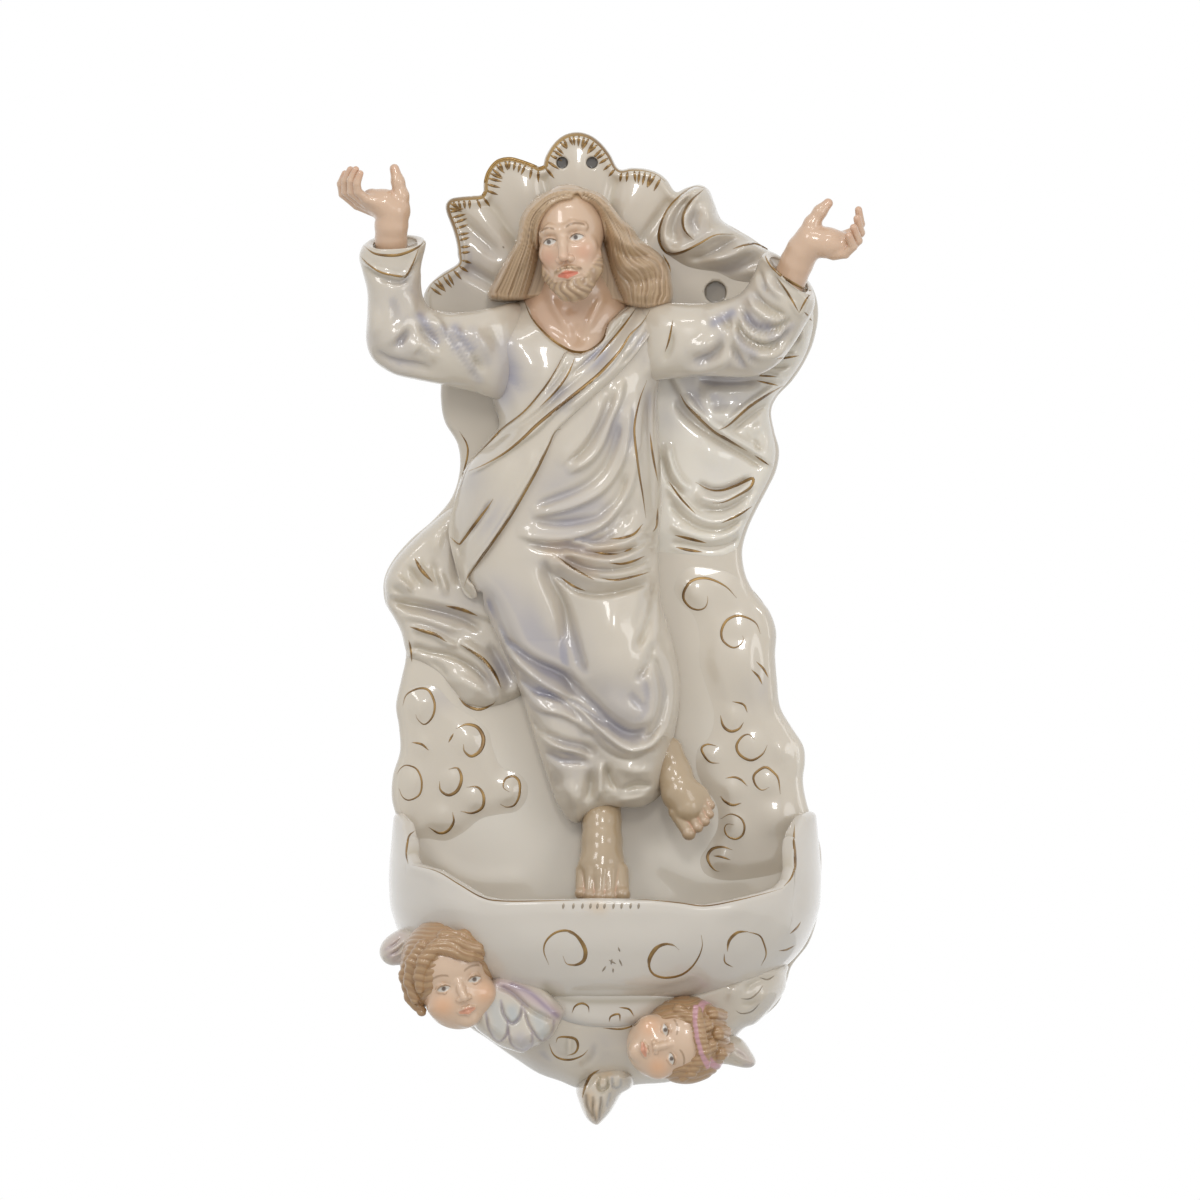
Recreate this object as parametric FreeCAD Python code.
"""Wall-hung porcelain holy water stoup: a robed figure with open arms on a cloud-and-shell plate, above a basin.

Frame: millimetres, +X to the right seen from the front, +Z up, and the wall is the plane Y = 0, so the object
stands out along -Y. The origin is midway between the two hanging holes, on the wall.

Outlines are drawn on a front elevation sheet, as (across, down) points. front() turns a sheet point into the frame,
and "depth" is always the distance from the wall. Every piece is cast or pressed by itself and luted to its
neighbours with slip, so each piece is cut back to the face of the one that carries it.
"""

import FreeCAD, Part
import math
import os

# ---- driving dimensions, in millimetres --------------------------------------------------------------------------
OVERALL_HEIGHT = 299.0
PLATE_THICKNESS = 5.0
HANGING_HOLE_RADIUS = 1.9
HANGING_HOLE_SPACING = 9.0
SHOULDER_HOLE_RADIUS = 3.6
VENT_RADIUS = 2.5
CASTING_WALL = 3.5
SPRIG_RIM = 1.0  # height of a sprigged relief at its outline
BODY_BACK = 8.0  # depth from which the body's rounded forms rise
ROBE_RIM_SHARE = 0.6  # share of the body's height that the robe has at its silhouette
BASE_RIM = 6.0
MANTLE_BACK = 14.0  # depth of the rebate in which the mantle lies
MANTLE_RISE = 2.2
BASIN_REACH = 60.0  # how far the basin stands out from the wall
BASIN_WALL = 4.0
HEAD_DEPTH = 29.5  # depth of the middle of the figure's head
OUT_OF_REACH = 90.0  # longer than any piece is deep

# ---- the front elevation sheet -----------------------------------------------------------------------------------
SHEET_HEIGHT = 997.0  # crest to lowest wing tip, in sheet units
ORIGIN_ACROSS, ORIGIN_DOWN = 577.0, 161.0
UNIT = OVERALL_HEIGHT / SHEET_HEIGHT
SHOULDER_HOLE = (716, 291)
VENTS = [(585, 600), (600, 1057)]  # into the hollow robe and the hollow corbel

# The plate's outline clockwise from the top, one run for each lobe, meeting at the notches of the shell.
PLATE_RUNS = [
    [(542, 164), (546, 152), (554, 141), (565, 133), (577, 130), (590, 133), (601, 141), (610, 152), (619, 167)],
    [(619, 167), (632, 166), (646, 167), (658, 171), (667, 178), (675, 190)],
    [
        (675, 190), (687, 186), (700, 183), (709, 188), (715, 201), (722, 218), (738, 228), (753, 237), (767, 247),
        (781, 257), (798, 269), (811, 282), (818, 299), (819, 318), (814, 342), (805, 362), (793, 380), (778, 396),
        (772, 411), (775, 430), (780, 450), (777, 470), (768, 489), (757, 510), (748, 530), (743, 551), (746, 574),
        (756, 594), (770, 611), (777, 632), (776, 655), (778, 682), (781, 707), (792, 727), (804, 746), (806, 762),
        (804, 782), (808, 805), (816, 828), (822, 852), (822, 882), (819, 915), (810, 944), (793, 967), (787, 985),
        (778, 1006), (756, 1024), (732, 1036), (706, 1052), (668, 1064), (628, 1074), (596, 1080), (560, 1068),
        (522, 1046), (486, 1025), (452, 1003), (424, 979), (406, 950), (399, 924), (390, 895), (388, 868),
        (394, 838), (397, 825), (391, 800), (392, 776), (399, 752), (398, 728), (395, 706), (400, 681), (405, 656),
        (402, 634), (393, 617), (384, 602), (383, 580), (392, 560), (410, 539), (433, 519), (451, 497), (459, 470),
        (457, 444), (444, 421), (440, 398), (440, 370), (434, 335), (423, 304), (426, 287), (440, 273), (457, 262),
    ],
    [(457, 262), (457, 246), (453, 229), (447, 213), (445, 203), (452, 197), (467, 195), (482, 192)],
    [(482, 192), (484, 180), (488, 168), (496, 158), (509, 155), (522, 158), (532, 162), (542, 164)],
]

ROBE_OUTLINE = [
    (530, 300), (505, 306), (492, 325), (490, 360), (490, 400), (486, 432), (464, 462), (448, 505), (446, 550),
    (458, 600), (480, 630), (501, 658), (519, 695), (533, 738), (548, 778), (562, 808), (580, 825), (600, 806),
    (622, 808), (648, 804), (664, 790), (672, 750), (677, 705), (674, 655), (664, 600), (659, 540), (660, 480),
    (657, 420), (664, 370), (672, 335), (662, 310), (635, 301), (600, 335), (577, 346), (552, 336),
]
ROBE_HOLLOW = [
    (520, 340), (512, 370), (516, 420), (500, 470), (492, 540), (500, 600), (528, 660), (552, 720), (580, 778),
    (630, 782), (652, 740), (656, 660), (644, 580), (638, 500), (636, 420), (645, 350), (600, 362), (560, 360),
]
MANTLE_OUTLINE = [
    (634, 300), (612, 322), (590, 346), (562, 356), (548, 386), (522, 414), (494, 438), (470, 462), (456, 490),
    (449, 520), (450, 550), (457, 580), (464, 598), (477, 598), (478, 575), (494, 545), (512, 512), (532, 474),
    (560, 430), (592, 396), (622, 366), (648, 338), (664, 316), (655, 302),
]
CLOAK_CURL_OUTLINE = [
    (706, 185), (694, 185), (680, 194), (667, 210), (660, 228), (662, 246), (672, 254), (690, 262), (706, 272),
    (726, 274), (742, 268), (757, 262), (771, 258), (764, 246), (745, 234), (724, 224), (716, 206), (711, 190),
]
CLOAK_RIGHT_OUTLINE = [
    (662, 380), (662, 430), (666, 490), (668, 545), (700, 558), (738, 552), (742, 534), (752, 510), (764, 488),
    (773, 466), (776, 448), (770, 428), (767, 408), (775, 392), (790, 376), (803, 356), (812, 334), (815, 312),
    (800, 306), (770, 330), (730, 352), (690, 364),
]
CLOAK_LEFT_OUTLINE = [
    (452, 508), (434, 525), (412, 542), (394, 562), (386, 582), (388, 602), (396, 616), (405, 634), (409, 658),
    (420, 672), (450, 684), (480, 704), (500, 700), (506, 676), (492, 640), (476, 604), (462, 586), (452, 550),
]
CLOUD_LEFT_OUTLINE = [
    (412, 682), (400, 704), (402, 728), (403, 752), (396, 778), (395, 800), (401, 824), (399, 846), (416, 862),
    (450, 846), (490, 832), (524, 812), (532, 790), (520, 762), (502, 742), (498, 716), (470, 700), (440, 684),
]
CLOUD_RIGHT_OUTLINE = [
    (684, 566), (680, 596), (694, 620), (712, 640), (708, 676), (700, 720), (696, 756), (712, 800), (706, 850),
    (730, 876), (772, 868), (800, 838), (802, 806), (798, 784), (800, 760), (788, 734), (774, 712), (771, 684),
    (770, 650), (770, 632), (762, 614), (748, 598), (738, 574), (712, 562),
]
BASE_OUTLINE = [
    (408, 930), (404, 952), (416, 978), (440, 1002), (470, 1027), (500, 1049), (528, 1067), (556, 1080), (582, 1089),
    (606, 1090), (632, 1085), (664, 1081), (698, 1066), (726, 1045), (750, 1028), (772, 1012), (785, 990),
    (787, 968), (764, 972), (735, 984), (698, 998), (655, 1010), (600, 1012), (545, 1008), (500, 992), (462, 962),
    (430, 932),
]
# The cloud's depth from the top down: (down, middle, half width, depth).
BASE_LEVELS = [(930, 595, 212, 40.0), (980, 600, 205, 39.0), (1002, 607, 190, 37.5), (1028, 610, 160, 35.5),
               (1050, 614, 134, 31.5), (1075, 618, 104, 25.0), (1095, 606, 64, 19.0)]
BASE_HOLLOW = [(505, 1030), (540, 1050), (590, 1067), (625, 1067), (655, 1060), (700, 1038), (655, 1046), (600, 1047),
               (548, 1045)]

# The body under the robe: half-round forms along lines of (across, down, half width, crest depth).
BODY_OUTLINE = [
    (493, 403), (478, 386), (462, 345), (480, 300), (530, 262), (600, 255), (670, 275), (706, 310), (690, 350),
    (668, 376), (659, 400), (661, 450), (663, 500), (660, 560), (664, 604), (675, 640), (681, 690), (677, 728),
    (668, 775), (652, 806), (620, 814), (600, 816), (577, 827), (556, 806), (539, 756), (520, 700), (499, 644),
    (480, 606), (457, 580), (449, 535), (455, 492), (489, 436), (498, 424),
]
TRUNK = [(590, 296, 84, 18.0), (588, 330, 96, 24.0), (580, 385, 104, 27.5), (574, 430, 106, 28.0),
         (566, 480, 108, 27.0), (562, 530, 112, 25.5), (560, 590, 112, 24.0), (560, 640, 104, 21.0)]
STANDING_LEG = [(522, 560, 66, 23.5), (522, 620, 62, 23.0), (545, 690, 58, 22.0), (566, 750, 56, 21.0),
                (586, 806, 56, 18.0)]
RAISED_LEG = [(606, 545, 60, 26.0), (614, 600, 60, 30.0), (618, 655, 62, 33.0), (628, 705, 62, 29.5),
              (634, 750, 60, 25.0), (632, 795, 60, 20.0)]

# Billows of the clouds: (middle, spread in sheet units, height in millimetres).
CLOUD_LEFT_HILLS = [((420, 706), (22, 22), 1.4), ((468, 740), (22, 22), 1.4), ((408, 784), (22, 24), 1.3),
                    ((450, 784), (18, 20), 1.3), ((444, 818), (18, 18), 1.3), ((508, 792), (22, 24), 1.0)]
CLOUD_RIGHT_HILLS = [((702, 595), (24, 22), 1.3), ((738, 652), (34, 40), 1.8), ((734, 716), (20, 20), 1.3),
                     ((754, 748), (22, 20), 1.4), ((768, 782), (20, 20), 1.2), ((733, 828), (22, 24), 1.2)]

# Main folds of the cloth: (line, width in sheet units, height in millimetres).
ROBE_FOLDS = [
    ([(542, 556), (552, 580), (563, 602), (581, 662), (588, 682)], 10, -3.2),
    ([(500, 637), (532, 658), (564, 674), (589, 698), (613, 722), (652, 726)], 10, -3.2),
    ([(508, 664), (556, 698), (583, 718), (609, 743), (632, 754), (662, 736)], 9, 2.2),
    ([(531, 716), (563, 744), (600, 758)], 9, -1.8),
    ([(552, 554), (575, 571), (602, 580), (630, 578), (656, 569)], 9, 2.2),
    ([(640, 502), (618, 526), (592, 544), (560, 548), (524, 541)], 9, -2.2),
    ([(637, 440), (634, 476), (618, 508), (586, 532), (540, 540)], 10, 1.8),
    ([(626, 376), (618, 420), (596, 458), (560, 480)], 10, 1.8),
    ([(641, 390), (637, 440), (642, 500)], 8, 1.2), ([(650, 390), (648, 440), (650, 500)], 8, -1.2),
    ([(655, 580), (652, 606), (636, 650)], 9, -1.8), ([(655, 655), (662, 690), (646, 740)], 9, -1.5),
    ([(601, 762), (600, 806)], 9, 1.8), ([(588, 765), (582, 808)], 9, -1.8), ([(614, 770), (628, 796)], 9, -1.8),
]
CLOAK_RIGHT_FOLDS = [
    ([(674, 396), (700, 426), (748, 456), (766, 468)], 9, -2.0), ([(722, 427), (749, 405), (782, 383)], 8, 1.4),
    ([(692, 486), (722, 498), (756, 480)], 9, 2.6), ([(698, 507), (728, 509), (758, 486)], 8, -1.6),
    ([(696, 378), (765, 378)], 8, -1.8), ([(668, 532), (710, 544), (742, 528)], 8, 1.2),
]
CLOAK_LEFT_FOLDS = [
    ([(388, 601), (412, 606), (440, 612), (484, 632)], 9, -2.2), ([(408, 626), (447, 643), (470, 650)], 8, 1.8),
    ([(408, 644), (448, 655), (480, 674), (490, 688)], 8, -1.8), ([(452, 664), (478, 690), (494, 698)], 8, 1.8),
    ([(392, 572), (416, 594)], 9, 2.2), ([(413, 556), (436, 588)], 8, 1.4), ([(456, 540), (460, 590)], 8, -1.4),
]

# Wings are flat outlines; each has the depth of its back, its thickness and the pieces that it meets.
WINGS = {
    "left_cherub_outer_wing": ([
        (420, 930), (400, 931), (386, 939), (380, 950), (384, 961), (396, 965), (416, 972), (430, 955),
    ], 20.0, 10.0, ["basin", "left_cherub_head", "left_cherub_hair"]),
    "left_cherub_inner_wing": ([
        (488, 980), (508, 978), (530, 986), (548, 1000), (563, 1014), (556, 1028), (546, 1042), (526, 1050),
        (504, 1044), (486, 1032), (474, 1010),
    ], 27.0, 14.0, ["cloud_corbel", "basin", "left_cherub_head"]),
    "right_cherub_lower_wing": ([
        (604, 1068), (588, 1078), (580, 1094), (581, 1108), (587, 1120), (596, 1127), (605, 1122), (613, 1110),
        (621, 1096), (636, 1085), (632, 1070),
    ], 14.0, 14.0, ["cloud_corbel", "right_cherub_head"]),
    "right_cherub_outer_wing": ([
        (718, 1030), (740, 1040), (752, 1055), (755, 1064), (748, 1067), (730, 1065), (708, 1062), (702, 1044),
    ], 18.0, 9.0, ["cloud_corbel", "right_cherub_hair"]),
}

# The rim of the basin seen from the front, from the wall on the left to the wall on the right.
RIM_LINE = [
    (378, 806), (392, 812), (402, 822), (406, 838), (407, 852), (412, 863), (437, 870), (458, 882), (481, 895),
    (500, 899), (560, 898), (600, 897), (650, 898), (680, 901), (705, 904), (735, 899), (765, 892), (781, 887),
    (790, 878), (794, 864), (795, 845), (797, 830), (806, 816), (832, 806),
]
# The basin's outside from the rim down: (down, half width in sheet units, share of the full reach).
BASIN_LEVELS = [(800, 210, 0.36), (824, 213, 0.58), (846, 215, 0.80), (870, 217, 0.95), (915, 214, 1.00),
                (948, 200, 0.94), (975, 174, 0.82), (997, 138, 0.66)]
BASIN_MIDDLE = 605.0
SQUARENESS = 2.3  # power of the basin's level sections: 2 is an ellipse, more is squarer
FOOT_RING_LEVELS = [(990, 126, 0.66), (1006, 118, 0.64), (1020, 106, 0.60), (1034, 86, 0.50)]
BASIN_FLOOR = (984, 132, 0.66)  # the water's lowest level
BASIN_FLOOR_ROUND = 9  # height over which the inside runs down to its floor
# The band of the plate that the basin covers, and the depth to which it cuts the clouds there.
BASIN_BAND = [(380, 800), (380, 1000), (830, 1000), (830, 800)]
BASIN_BAND_DEPTH = 9.0

# Limbs and soft forms as stations along their length: (across, down, depth, half width, half depth), widths in
# sheet units and depths in millimetres.
RIGHT_UPPER_SLEEVE = [(512, 338, 16, 38, 9.5), (478, 342, 19, 37, 10.5), (440, 344, 21, 34, 10.5),
                      (404, 340, 23, 28, 9.5), (386, 336, 24, 18, 6.5)]
RIGHT_FORE_SLEEVE = [(392, 356, 22, 20, 6.5), (391, 330, 24, 24, 8.2), (392, 300, 26, 24, 8.0),
                     (392, 274, 28, 29, 8.8), (391, 252, 29, 33, 9.4), (392, 240, 29.5, 30, 8.6)]
LEFT_UPPER_SLEEVE = [(648, 340, 16, 34, 9.5), (684, 342, 18, 33, 10.0), (720, 342, 19, 33, 10.5),
                     (750, 336, 20, 34, 10.5), (770, 326, 21, 26, 8.0)]
LEFT_FORE_SLEEVE = [(752, 346, 21, 34, 8.5), (764, 322, 23, 42, 10.0), (776, 300, 25, 40, 10.0),
                    (786, 282, 27, 36, 9.6), (796, 266, 28.5, 29, 8.2)]
NECK = [(582, 352, 21.5, 34, 4.5), (580, 330, 22, 32, 6.5), (578, 305, 23, 24, 7.0), (575, 280, 25, 22, 7.0)]
RIGHT_HAND = {
    "palm": [(391, 252, 29.5, 13, 4.0), (391, 236, 30, 15, 4.0), (390, 220, 31, 18, 3.8), (384, 206, 32, 22, 3.6),
             (380, 196, 33, 18, 3.0)],
    "thumb": [(396, 218, 32, 10, 3.0), (399, 202, 33, 9, 2.8), (396, 184, 34, 8, 2.5), (394, 168, 35, 4.5, 1.4)],
    "fingers": [(382, 212, 31, 13, 3.4), (362, 205, 32, 14, 3.4), (349, 194, 34, 12.5, 3.4),
                (347, 180, 37, 10, 3.2), (352, 171, 39, 6, 2.0)],
}
LEFT_HAND = {
    "palm": [(788, 278, 28.5, 14, 4.0), (796, 264, 29.5, 14, 4.0), (805, 250, 31, 17, 3.8), (814, 238, 32, 18, 3.6),
             (820, 230, 33, 14, 3.0)],
    "thumb": [(802, 246, 31, 10, 3.0), (812, 226, 32.5, 8.5, 2.7), (823, 210, 34, 7, 2.4), (830, 202, 35, 4, 1.4)],
    "fingers": [(806, 248, 31, 14, 3.4), (830, 244, 32.5, 15, 3.4), (848, 240, 34, 14, 3.4), (857, 226, 36, 9, 3.0),
                (858, 214, 38, 5, 2.0)],
}
RIGHT_FOOT = [(604, 790, 13, 20, 6.0), (603, 830, 13, 20, 6.5), (603, 862, 14, 23, 7.0), (603, 886, 16, 26, 8.0),
              (603, 903, 19, 22, 5.5)]
LEFT_FOOT = [(664, 752, 12, 16, 5.5), (674, 778, 13, 18, 6.5), (686, 802, 15, 19, 6.5), (694, 820, 17, 19, 5.0),
             (699, 834, 18.5, 11, 2.8)]
RIGHT_HAIR = [(540, 222, 24, 13, 6.0), (526, 246, 21, 16, 7.0), (514, 268, 18, 20, 7.0), (504, 288, 14, 17, 5.0),
              (499, 298, 12, 10, 3.0)]
LEFT_HAIR = [(604, 218, 25, 18, 7.0), (624, 244, 23, 21, 8.0), (640, 266, 19, 26, 8.0), (648, 284, 15, 23, 6.5),
             (650, 300, 12, 16, 4.0)]

# Ovals: (across, down, depth, half width, half height, half depth, tilt); width and height in sheet units, depths
# in millimetres, and the tilt in degrees, clockwise from upright.
FIGURE_FACE = (572, 246, HEAD_DEPTH, 34, 55, 12.5, -8)
FIGURE_SCALP = (571, 226, HEAD_DEPTH - 3.0, 42, 41, 12.5, -8)
LEFT_CHERUB_FACE = (453, 984, 37.0, 39, 44, 13.0, -20)
LEFT_CHERUB_SCALP = (444, 962, 34.0, 45, 38, 13.0, -20)
RIGHT_CHERUB_FACE = (668, 1042, 37.0, 40, 44, 13.0, 78)
RIGHT_CHERUB_SCALP = (692, 1037, 34.0, 44, 40, 13.0, 78)

FRONT = FreeCAD.Vector(0, -1, 0)


def front(across, down, depth=0.0):
    """A sheet point as a point of the frame, at that distance from the wall."""
    return FreeCAD.Vector((across - ORIGIN_ACROSS) * UNIT, -depth, (ORIGIN_DOWN - down) * UNIT)


def smooth_edge(points, closed=False):
    curve = Part.BSplineCurve()
    curve.interpolate(points, PeriodicFlag=closed)
    return curve.toShape()


def outline_face(outline, depth):
    """A flat face inside one smooth closed outline."""
    return Part.Face(Part.Wire([smooth_edge([front(a, d, depth) for a, d in outline], closed=True)]))


def slab(face, thickness):
    return face.extrude(FRONT * thickness)


def cylinder(across, down, radius, reach):
    """A round cutter along Y, from behind the wall plane to the depth `reach`."""
    start = front(across, down, -1.0)
    return Part.makeCylinder(radius, reach + 1.0, start, FRONT)


def sampled(outline, steps=6):
    """Points close together along a closed outline, for measuring distances."""
    edge = smooth_edge([FreeCAD.Vector(a, d, 0) for a, d in outline], closed=True)
    return [(p.x, p.y) for p in edge.discretize(len(outline) * steps)]


def inside(across, down, loop):
    """True where a sheet point lies inside a closed loop of points."""
    hit = False
    for (a0, d0), (a1, d1) in zip(loop, loop[1:] + loop[:1]):
        if (d0 > down) != (d1 > down) and across < a0 + (down - d0) * (a1 - a0) / (d1 - d0):
            hit = not hit
    return hit


def swell(across, down, loop, roll):
    """0 at the outline, rising smoothly to 1 at `roll` sheet units inside it."""
    if not inside(across, down, loop):
        return 0.0
    near = min(math.hypot(across - a, down - d) for a, d in loop)
    share = min(near / roll, 1.0)
    return share * share * (3.0 - 2.0 * share)


def near_line(line, across, down):
    """The distance to the nearest place on a line of points, and the points' further values at that place."""
    found = None
    for p, q in zip(line, line[1:]):
        run_across, run_down = q[0] - p[0], q[1] - p[1]
        share = ((across - p[0]) * run_across + (down - p[1]) * run_down) / (run_across ** 2 + run_down ** 2)
        share = min(max(share, 0.0), 1.0)
        gap = math.hypot(across - p[0] - share * run_across, down - p[1] - share * run_down)
        if found is None or gap < found[0]:
            found = (gap, [u + share * (v - u) for u, v in zip(p[2:], q[2:])])
    return found


def half_round_form(across, down, line):
    """The depth of a half-round form along a line of (across, down, half width, crest depth)."""
    gap, (half_width, crest) = near_line(line, across, down)
    return BODY_BACK + (crest - BODY_BACK) * math.sqrt(max(1.0 - (gap / half_width) ** 2, 0.0))


def blend(x, y, width):
    """The larger of two depths, with a soft join of that width."""
    return (x + y + math.sqrt((x - y) ** 2 + width ** 2)) / 2.0


def fold_height(across, down, folds):
    """The height that rounded folds add at a place."""
    return sum(height * math.exp(-(near_line(line, across, down)[0] / width) ** 2) for line, width, height in folds)


def bump(across, down, middle, spread):
    """A round hill of height 1."""
    return math.exp(-(((across - middle[0]) / spread[0]) ** 2 + ((down - middle[1]) / spread[1]) ** 2))


def pole_stops(low, high, step):
    """Where the poles of a quadratic spline stand, so that it runs evenly from low to high."""
    spans = int((high - low) / step) + 1
    return [low] + [low + (high - low) * (i + 0.5) / spans for i in range(spans)] + [high]


def height_field(across_stops, down_stops, depth_at):
    """A smooth sheet in front of the wall, with a pole at depth_at(across, down) for each pair of stops."""
    poles = [[front(a, d, depth_at(a, d)) for d in down_stops] for a in across_stops]
    knots = [[float(i) for i in range(len(stops) - 1)] for stops in (across_stops, down_stops)]
    mults = [[3] + [1] * (len(stops) - 3) + [3] for stops in (across_stops, down_stops)]
    surface = Part.BSplineSurface()
    surface.buildFromPolesMultsKnots(poles, *mults, *knots, False, False, 2, 2)
    return surface.toShape()


def relief(outline, depth_at, back, step=9.0):
    """A solid with a flat back and an outline's walls, whose face follows depth_at(across, down)."""
    across, down = [a for a, _ in outline], [d for _, d in outline]
    sheet = height_field(
        pole_stops(min(across) - step, max(across) + step, step),
        pole_stops(min(down) - step, max(down) + step, step),
        depth_at,
    )
    return slab(outline_face(outline, back), OUT_OF_REACH).common(sheet.extrude(FRONT * -OUT_OF_REACH))


def ring(middle, along, half_width, half_depth):
    """A closed oval around `middle`, square to the direction `along`."""
    along = FreeCAD.Vector(along).normalize()
    out = (FRONT - along * FRONT.dot(along)).normalize()
    side = along.cross(out)
    turns = [2 * math.pi * i / 10 for i in range(10)]
    points = [middle + side * (half_width * math.cos(t)) + out * (half_depth * math.sin(t)) for t in turns]
    return Part.Wire([smooth_edge(points, closed=True)])


def limb(stations):
    """A smooth solid through the ovals of its stations."""
    middles = [front(a, d, depth) for a, d, depth, _, _ in stations]
    rings = []
    for i, (_, _, _, half_width, half_depth) in enumerate(stations):
        before, after = middles[max(i - 1, 0)], middles[min(i + 1, len(middles) - 1)]
        rings.append(ring(middles[i], after - before, half_width * UNIT, half_depth))
    return Part.makeLoft(rings, True, False)


def oval(across, down, depth, half_width, half_height, half_depth, tilt):
    """An egg-shaped solid: a ball stretched to its three half sizes, then tilted in the front plane."""
    stretch = FreeCAD.Matrix()
    stretch.scale(half_width * UNIT, half_depth, half_height * UNIT)
    ball = Part.makeSphere(1.0)
    ball.rotate(FreeCAD.Vector(0, 0, 0), FreeCAD.Vector(0, 0, 1), 90)  # its seam goes to the back
    ball = ball.transformGeometry(stretch)
    ball.rotate(FreeCAD.Vector(0, 0, 0), FreeCAD.Vector(0, 1, 0), tilt)
    ball.translate(front(across, down, depth))
    return ball


def largest(shape):
    """The main solid of a cut, without the slivers that it leaves."""
    return max(shape.Solids, key=lambda solid: solid.Volume)


def cut_back(shape, *carriers):
    """The piece cut to the faces of the pieces that carry it."""
    for carrier in carriers:
        shape = shape.cut(carrier)
    return largest(shape)


# ---- plate and its reliefs ---------------------------------------------------------------------------------------
def back_plate():
    edges = [smooth_edge([front(a, d) for a, d in run]) for run in PLATE_RUNS]
    plate = slab(Part.Face(Part.Wire(edges)), PLATE_THICKNESS)
    for side in (-1, 1):
        across = ORIGIN_ACROSS + side * HANGING_HOLE_SPACING / 2 / UNIT
        plate = plate.cut(cylinder(across, ORIGIN_DOWN, HANGING_HOLE_RADIUS, PLATE_THICKNESS + 1))
    plate = plate.cut(cylinder(*SHOULDER_HOLE, SHOULDER_HOLE_RADIUS, PLATE_THICKNESS + 1))
    for across, down in VENTS:
        plate = plate.cut(cylinder(across, down, VENT_RADIUS, PLATE_THICKNESS + 1))
    return largest(plate)


def sprig(outline, height, roll, hills=(), folds=()):
    """A low relief on the plate: a rounded edge, hills of (middle, spread, height), and folds."""
    loop = sampled(outline)

    def depth_at(across, down):
        share = swell(across, down, loop, roll)
        rise = height + sum(h * bump(across, down, middle, spread) for middle, spread, h in hills)
        return PLATE_THICKNESS + SPRIG_RIM + share * (rise + fold_height(across, down, folds))

    return relief(outline, depth_at, PLATE_THICKNESS, step=7.0)


# ---- figure ------------------------------------------------------------------------------------------------------
def robe_depth(across, down, loop, roll=22.0):
    """The robe's face: the trunk and both legs as rounded forms, the raised knee foremost, and the main folds."""
    legs = blend(half_round_form(across, down, STANDING_LEG), half_round_form(across, down, RAISED_LEG), 3.0)
    body = blend(half_round_form(across, down, TRUNK), legs, 4.0) - PLATE_THICKNESS
    share = swell(across, down, loop, roll)
    rise = body * (ROBE_RIM_SHARE + (1.0 - ROBE_RIM_SHARE) * share)
    return PLATE_THICKNESS + rise + fold_height(across, down, ROBE_FOLDS) * share


def pocket(outline, depth):
    """A straight-walled hollow, open at the back, up to that depth."""
    return slab(outline_face(outline, PLATE_THICKNESS - 1.0), depth - PLATE_THICKNESS + 1.0)


def robe():
    """The robe's hollow casting, with a rebate where the mantle lies."""
    loop = sampled(BODY_OUTLINE)
    outside = relief(ROBE_OUTLINE, lambda a, d: robe_depth(a, d, loop), PLATE_THICKNESS)
    rebate = slab(outline_face(MANTLE_OUTLINE, MANTLE_BACK), OUT_OF_REACH)
    return largest(outside.cut(pocket(ROBE_HOLLOW, MANTLE_BACK - CASTING_WALL)).cut(rebate))


def mantle():
    """The mantle's band over the left shoulder to the right hip, standing out of the robe's rebate."""
    loop = sampled(MANTLE_OUTLINE)
    robe_loop = sampled(BODY_OUTLINE)

    def depth_at(across, down):
        return robe_depth(across, down, robe_loop) + 0.8 + MANTLE_RISE * swell(across, down, loop, 12.0)

    return largest(relief(MANTLE_OUTLINE, depth_at, MANTLE_BACK))


def hand(parts):
    palm = limb(parts["palm"])
    return largest(palm.fuse([limb(parts["thumb"]), limb(parts["fingers"])]))


# ---- basin -------------------------------------------------------------------------------------------------------
def half_round(down, half_width, reach):
    """A level section of the basin: straight along the plate and a full curve in front, wider than an ellipse."""
    turns = [math.pi * i / 16 for i in range(17)]
    points = []
    for t in turns:
        side = math.copysign(abs(math.cos(t)) ** (2 / SQUARENESS), math.cos(t))
        out = math.sin(t) ** (2 / SQUARENESS) if t < math.pi else 0.0
        points.append(front(BASIN_MIDDLE + half_width * side, down, PLATE_THICKNESS + reach * out))
    points[0].y = points[-1].y = -PLATE_THICKNESS
    return Part.Wire([smooth_edge(points), Part.LineSegment(points[-1], points[0]).toShape()])


def bowl(levels, inset):
    """The basin's solid outside, or its inside where inset is the wall's thickness."""
    reach = BASIN_REACH - PLATE_THICKNESS
    return Part.makeLoft(
        [half_round(d, w - inset / UNIT, reach * share - inset) for d, w, share in levels], True, False
    )


def above_rim():
    """Everything above the wavy rim line, as a cutter."""
    line = smooth_edge([front(a, d, -1.0) for a, d in RIM_LINE])
    high = ORIGIN_DOWN
    corners = [front(*RIM_LINE[-1], -1.0), front(RIM_LINE[-1][0], high, -1.0), front(RIM_LINE[0][0], high, -1.0),
               front(*RIM_LINE[0], -1.0)]
    sides = [Part.LineSegment(p, q).toShape() for p, q in zip(corners, corners[1:])]
    return Part.Face(Part.Wire([line] + sides)).extrude(FRONT * OUT_OF_REACH)


def basin():
    outside = bowl(BASIN_LEVELS, 0.0)
    inner_levels = [level for level in BASIN_LEVELS if level[0] < BASIN_FLOOR[0] - BASIN_FLOOR_ROUND]
    inside_part = bowl(inner_levels + [BASIN_FLOOR], BASIN_WALL)
    return largest(outside.cut(inside_part).cut(above_rim()))


def foot_ring():
    """The stepped ring under the basin."""
    reach = BASIN_REACH - PLATE_THICKNESS
    return Part.makeLoft([half_round(d, w, reach * share) for d, w, share in FOOT_RING_LEVELS], True, False)


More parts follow.
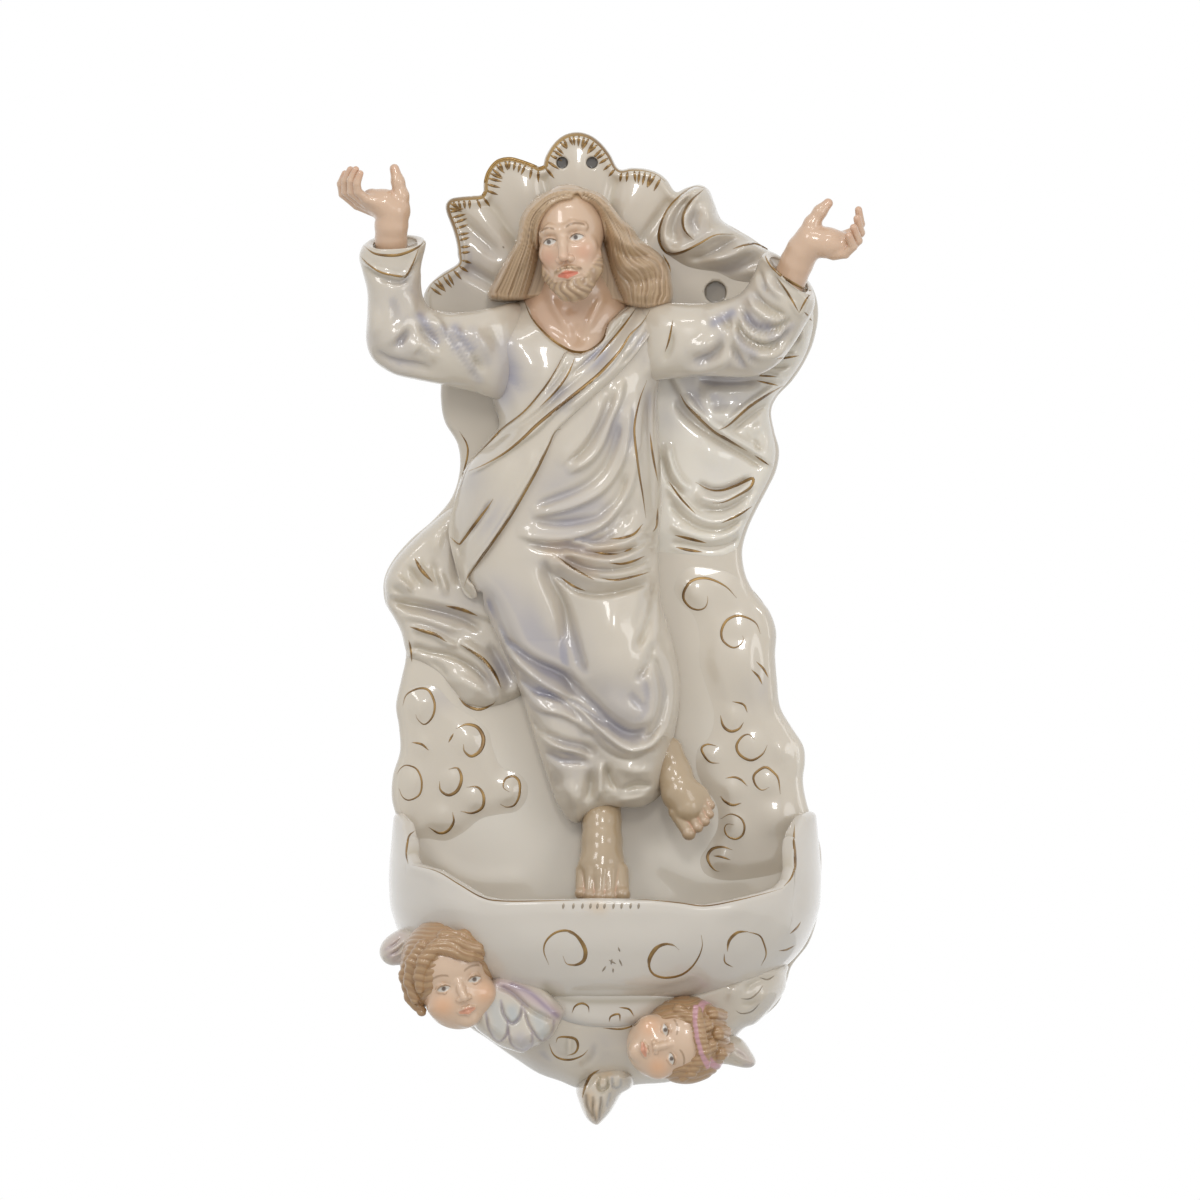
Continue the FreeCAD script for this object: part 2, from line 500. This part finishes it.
def cloud_corbel():
    """The hollow cloud that carries the basin: deep under it, half-round like it, and tapering back to the wall."""
    loop = sampled(BASE_OUTLINE)

    def depth_at(across, down):
        line = [(down_at, 0.0, *level) for down_at, *level in BASE_LEVELS]
        middle, half_width, depth = near_line(line, down, 0.0)[1]
        side = min(abs(across - middle) / half_width, 1.0)
        full = (1.0 - side ** SQUARENESS) ** (1.0 / SQUARENESS)
        edge = 0.5 + 0.5 * swell(across, down, loop, 18.0)
        return PLATE_THICKNESS + BASE_RIM + (depth - PLATE_THICKNESS - BASE_RIM) * full * edge

    outside = relief(BASE_OUTLINE, depth_at, PLATE_THICKNESS)
    return largest(outside.cut(pocket(BASE_HOLLOW, PLATE_THICKNESS + BASE_RIM)))


def wing(outline, back, thickness):
    """A wing with a domed face."""
    loop = sampled(outline)
    return relief(outline, lambda a, d: back + 0.35 * thickness + 0.65 * thickness * swell(a, d, loop, 14.0), back,
                  step=5.0)


def build():
    parts = {"back_plate": back_plate()}
    plate = parts["back_plate"]
    parts["cloak_curl"] = cut_back(sprig(CLOAK_CURL_OUTLINE, 4.0, 12.0, [((712, 250), (40, 22), 2.0)]),
                                   cylinder(*SHOULDER_HOLE, SHOULDER_HOLE_RADIUS, OUT_OF_REACH))
    parts["cloak_right"] = largest(sprig(CLOAK_RIGHT_OUTLINE, 3.6, 14.0, [((735, 410), (40, 30), 1.6)],
                                   CLOAK_RIGHT_FOLDS))
    parts["cloak_left"] = largest(sprig(CLOAK_LEFT_OUTLINE, 3.4, 14.0, [((410, 580), (26, 26), 1.2)],
                                  CLOAK_LEFT_FOLDS))
    for name, outline, hills in (("cloud_left", CLOUD_LEFT_OUTLINE, CLOUD_LEFT_HILLS),
                                 ("cloud_right", CLOUD_RIGHT_OUTLINE, CLOUD_RIGHT_HILLS)):
        parts[name] = largest(sprig(outline, 0.4, 24.0, hills))

    parts["basin"] = basin()
    whole_bowl = bowl(BASIN_LEVELS, 0.0)
    basin_foot = whole_bowl.common(slab(outline_face(BASIN_BAND, 0.0), BASIN_BAND_DEPTH)).cut(above_rim())
    for name in ("cloud_left", "cloud_right"):
        parts[name] = cut_back(parts[name], basin_foot)
    parts["foot_ring"] = cut_back(foot_ring(), whole_bowl)
    parts["cloud_corbel"] = cut_back(cloud_corbel(), whole_bowl, parts["foot_ring"])

    parts["robe"] = robe()
    parts["mantle"] = mantle()
    body = [parts["robe"], parts["mantle"], plate, parts["cloak_right"], parts["cloak_curl"]]
    upper = limb(RIGHT_UPPER_SLEEVE).fuse(limb(RIGHT_FORE_SLEEVE))
    parts["right_sleeve"] = cut_back(upper, *body)
    upper = limb(LEFT_UPPER_SLEEVE).fuse(limb(LEFT_FORE_SLEEVE))
    parts["left_sleeve"] = cut_back(upper, *body)
    parts["right_hand"] = cut_back(hand(RIGHT_HAND), parts["right_sleeve"])
    parts["left_hand"] = cut_back(hand(LEFT_HAND), parts["left_sleeve"])
    parts["neck"] = cut_back(limb(NECK), parts["robe"], parts["mantle"])
    parts["head"] = cut_back(oval(*FIGURE_FACE), parts["neck"])
    parts["hair"] = cut_back(
        oval(*FIGURE_SCALP).fuse([limb(RIGHT_HAIR), limb(LEFT_HAIR)]),
        parts["head"], parts["neck"], parts["robe"], parts["mantle"], plate, parts["right_sleeve"],
        parts["left_sleeve"],
    )
    feet = {"right_foot": RIGHT_FOOT, "left_foot": LEFT_FOOT}
    for name, stations in feet.items():
        parts[name] = cut_back(limb(stations), plate, parts["robe"], parts["basin"], parts["cloud_right"])

    carriers = [whole_bowl, parts["foot_ring"], parts["cloud_corbel"]]
    parts["left_cherub_head"] = cut_back(oval(*LEFT_CHERUB_FACE), *carriers)
    parts["left_cherub_hair"] = cut_back(oval(*LEFT_CHERUB_SCALP), parts["left_cherub_head"], *carriers)
    parts["right_cherub_head"] = cut_back(oval(*RIGHT_CHERUB_FACE), *carriers)
    parts["right_cherub_hair"] = cut_back(oval(*RIGHT_CHERUB_SCALP), parts["right_cherub_head"], *carriers)
    for name, (outline, back, thickness, neighbours) in WINGS.items():
        parts[name] = cut_back(wing(outline, back, thickness), *[parts[n] for n in neighbours])
    return parts


def export(parts):
    os.makedirs("parts", exist_ok=True)
    for name, shape in parts.items():
        shape.exportStep(os.path.join("parts", name + ".step"))
        box = shape.BoundBox
        print(f"{name:26s} {shape.Volume / 1000:8.2f} cm3  {box.XLength:6.1f} x {box.YLength:5.1f} x {box.ZLength:6.1f}")


export(build())
